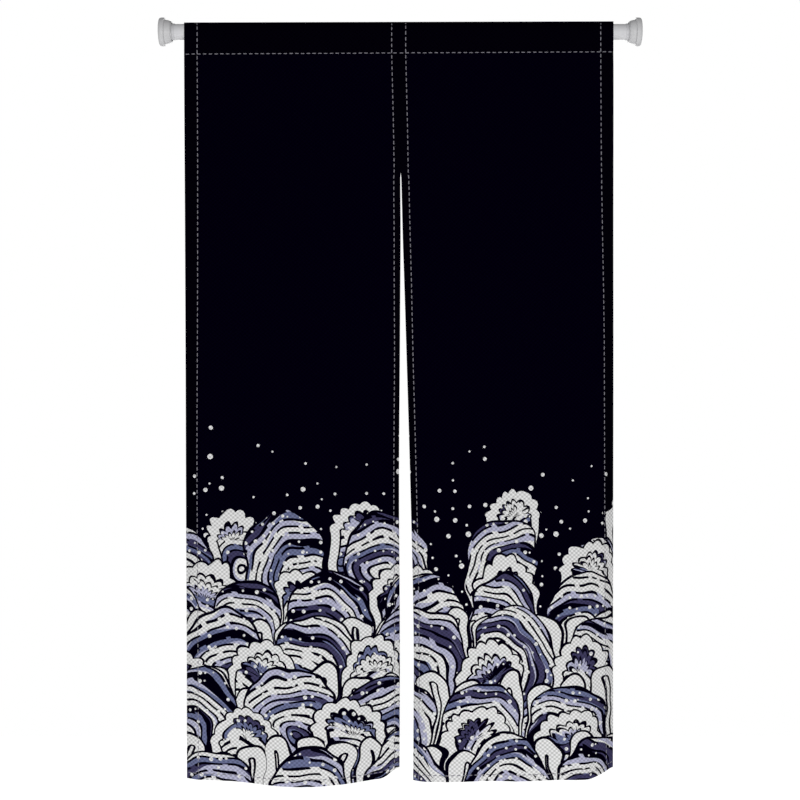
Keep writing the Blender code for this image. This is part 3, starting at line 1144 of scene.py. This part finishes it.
def moulded_finish(name, colour, roughness, streaks):
    """Plastic or paint with a fine grain, faint flow marks and handled, uneven gloss."""
    g = Graph(bpy.data.materials.new(name))
    place = g.add("ShaderNodeTexCoord").outputs["Object"]
    x, y, z = g.split(place)
    streaked = g.combined(g.times(x, streaks), y, z)
    flow = g.noise(streaked, FLOW_SCALE, detail=FLOW_DETAIL)
    shade = g.between(flow, *FLOW_SHADES)
    g.set(Base_Color=g.scaled(colour[:3], shade), Specular_IOR_Level=0.3)
    g.set(Roughness=g.between(flow, roughness - FLOW_GLOSS, roughness + FLOW_GLOSS))
    g.bump(g.noise(place, GRAIN_SCALE), GRAIN_DEPTH, strength=GRAIN_STRENGTH)
    return g.owner


def rounded(profile, radius, steps):
    """The profile with each inner corner replaced by a round, which takes under half an edge."""
    points = [Vector(point) for point in profile]
    made = [points[0]]
    for before, corner, after in zip(points, points[1:], points[2:]):
        back, on = before - corner, after - corner
        reach = min(radius, back.length * ROUND_SHARE, on.length * ROUND_SHARE)
        start, end = corner + back.normalized() * reach, corner + on.normalized() * reach
        for i in range(steps + 1):
            t = i / steps
            made.append(start * (1 - t) ** 2 + corner * (2 * t * (1 - t)) + end * t * t)
    return made + [points[-1]]


def add_turned(name, node, profile, closed, x, way, slot, finish):
    """A body turned round the rod's axis. The profile holds (distance along the rod, radius).

    It starts at x and runs to the right where the way is 1, and to the left where it is -1.
    """
    outline = bmesh.new()
    corners = [outline.verts.new((radius, 0.0, along)) for along, radius in profile]
    for first, second in zip(corners, corners[1:]):
        outline.edges.new((first, second))
    if closed:
        outline.edges.new((corners[-1], corners[0]))
    piece = show(outline, name, slot, finish)
    piece.location = (x, 0.0, 0.0)
    piece.rotation_euler = (0.0, way * math.pi / 2, 0.0)
    screw = piece.modifiers.new("turn", "SCREW")
    screw.axis = "Z"
    screw.steps = ROUND_STEPS
    screw.render_steps = ROUND_STEPS
    screw.use_merge_vertices = True
    screw.merge_threshold = MERGE_DISTANCE
    screw.use_normal_flip = True
    screw.use_smooth_shade = True
    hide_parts(node)


def plain_ring(start, end, inner, outer, edge):
    """Profile of a ring with rounded outer edges, from one inner edge to the other."""
    outline = [(start, inner), (start, outer), (end, outer), (end, inner)]
    return rounded(outline, edge, EDGE_STEPS)


def cone_radius(along):
    """The radius of the cap's cone near its lip."""
    before, after = CAP_RINGS[LIP_RING - 1], CAP_RINGS[LIP_RING]
    return mix(before.radius, after.radius, (along - before.along) / (after.along - before.along))


def cap_profile():
    """The cap's rings, closed to the axis at the wall face and at the floor.

    Grip grooves ring the wall face, and one sharp groove sets the lip off from the cone.
    """
    floor = CAP_RINGS[-1].along
    face = [(0.0, 0.0)]
    for radius in GRIP_GROOVES:
        near, far = radius - GROOVE_WIDTH / 2, radius + GROOVE_WIDTH / 2
        face += [(0.0, near), (GROOVE_DEPTH, radius), (0.0, far)]
    edges = [(along, cone_radius(along)) for along in LIP_GROOVE]
    groove = [(along, radius - LIP_GROOVE_DEPTH) for along, radius in edges]
    body = [face[-1], *CAP_RINGS[:LIP_RING], edges[0], groove[0]]
    mouth = [groove[1], edges[1], *CAP_RINGS[LIP_RING:], (floor, 0.0)]
    return face[:-1] + rounded(body, CAP_EDGE, EDGE_STEPS) + rounded(mouth, CAP_EDGE, EDGE_STEPS)


def add_rod():
    tube_finish = moulded_finish("tube_paint", TUBE_WHITE, 0.34, streaks=0.08)
    cap_finish = moulded_finish("cap_plastic", CAP_GREY, 0.38, streaks=1.0)
    collar_finish = moulded_finish("collar_plastic", COLLAR_GREY, 0.42, streaks=1.0)
    tube_end = CAP_RINGS[-1].along + GAP
    inside = TUBE_RADIUS - TUBE_WALL
    tube = plain_ring(tube_end, ROD_LENGTH - tube_end, inside, TUBE_RADIUS, GAP)
    add_turned("rod", "rod_tube", tube, True, 0.0, 1, "tube", tube_finish)
    cap = cap_profile()
    collar = plain_ring(COLLAR_START, COLLAR_END, TUBE_RADIUS + GAP, COLLAR_RADIUS, COLLAR_EDGE)
    for side, x, way in (("left", 0.0, 1), ("right", ROD_LENGTH, -1)):
        add_turned(f"end_cap_{side}", f"cap_{side}", cap, False, x, way, "cap", cap_finish)
        add_turned(
            f"end_collar_{side}", f"collar_{side}", collar, True, x, way, "collar", collar_finish
        )


def add_floor():
    shape = bmesh.new()
    bmesh.ops.create_grid(shape, x_segments=1, y_segments=1, size=FLOOR_REACH)
    floor = placed("floor", finished(shape, "floor"), (ROD_LENGTH / 2, 0.0, FLOOR_Z))
    g = Graph(bpy.data.materials.new("floor"))
    place = g.add("ShaderNodeTexCoord").outputs["Object"]
    shade = g.between(g.noise(place, FLOOR_SCALE), *FLOOR_SHADES)
    g.set(Base_Color=g.combined(shade, shade, shade), Roughness=0.9)
    g.set(Emission_Color=(1.0, 1.0, 1.0, 1.0), Emission_Strength=FLOOR_GLOW)
    floor.data.materials.append(g.owner)


def add_softbox(name, place, power):
    light = bpy.data.lights.new(name, "AREA")
    light.size = SOFTBOX_SIZE
    light.energy = power
    lamp = placed(name, light, place)
    aim = Vector((CAMERA_X, 0.0, CAMERA_Z)) - Vector(place)
    lamp.rotation_euler = aim.to_track_quat("-Z", "Y").to_euler()
    lamp.visible_camera = False


def add_world():
    """Light from all round, dimmer from above and below. The camera sees it as white."""
    world = bpy.data.worlds.new("studio")
    bpy.context.scene.world = world
    g = Graph(world)
    direction = g.split(g.add("ShaderNodeNewGeometry").outputs["Normal"])
    steepness = g.math("ABSOLUTE", direction[2])
    glow = g.between(steepness, WORLD_SIDE, WORLD_POLES)
    seen = g.add("ShaderNodeLightPath").outputs["Is Camera Ray"]
    g.set(Color=(1.0, 1.0, 1.0, 1.0), Strength=g.math("MAXIMUM", glow, seen))


def add_camera():
    data = bpy.data.cameras.new("camera")
    data.sensor_width = SENSOR_MILLIMETRES
    data.lens = SENSOR_MILLIMETRES * CAMERA_DISTANCE / PHOTO_WIDTH
    camera = placed("camera", data, (CAMERA_X, -CAMERA_DISTANCE, CAMERA_Z))
    camera.rotation_euler = (math.pi / 2, 0.0, 0.0)
    bpy.context.scene.camera = camera


def main():
    printed, reverse, thread = printed_side(), reverse_side(), thread_finish()
    for panel in PANELS:
        strip = panel_strip(panel)
        cloth = add_cloth(panel, strip, printed, reverse)
        stitches = add_stitches(panel, strip, thread)
    add_rod()
    add_floor()
    add_world()
    add_softbox("front_softbox", FRONT_SOFTBOX, FRONT_POWER)
    add_softbox("back_softbox", BACK_SOFTBOX, BACK_POWER)
    add_camera()
    bpy.context.scene.view_settings.view_transform = "Standard"


main()
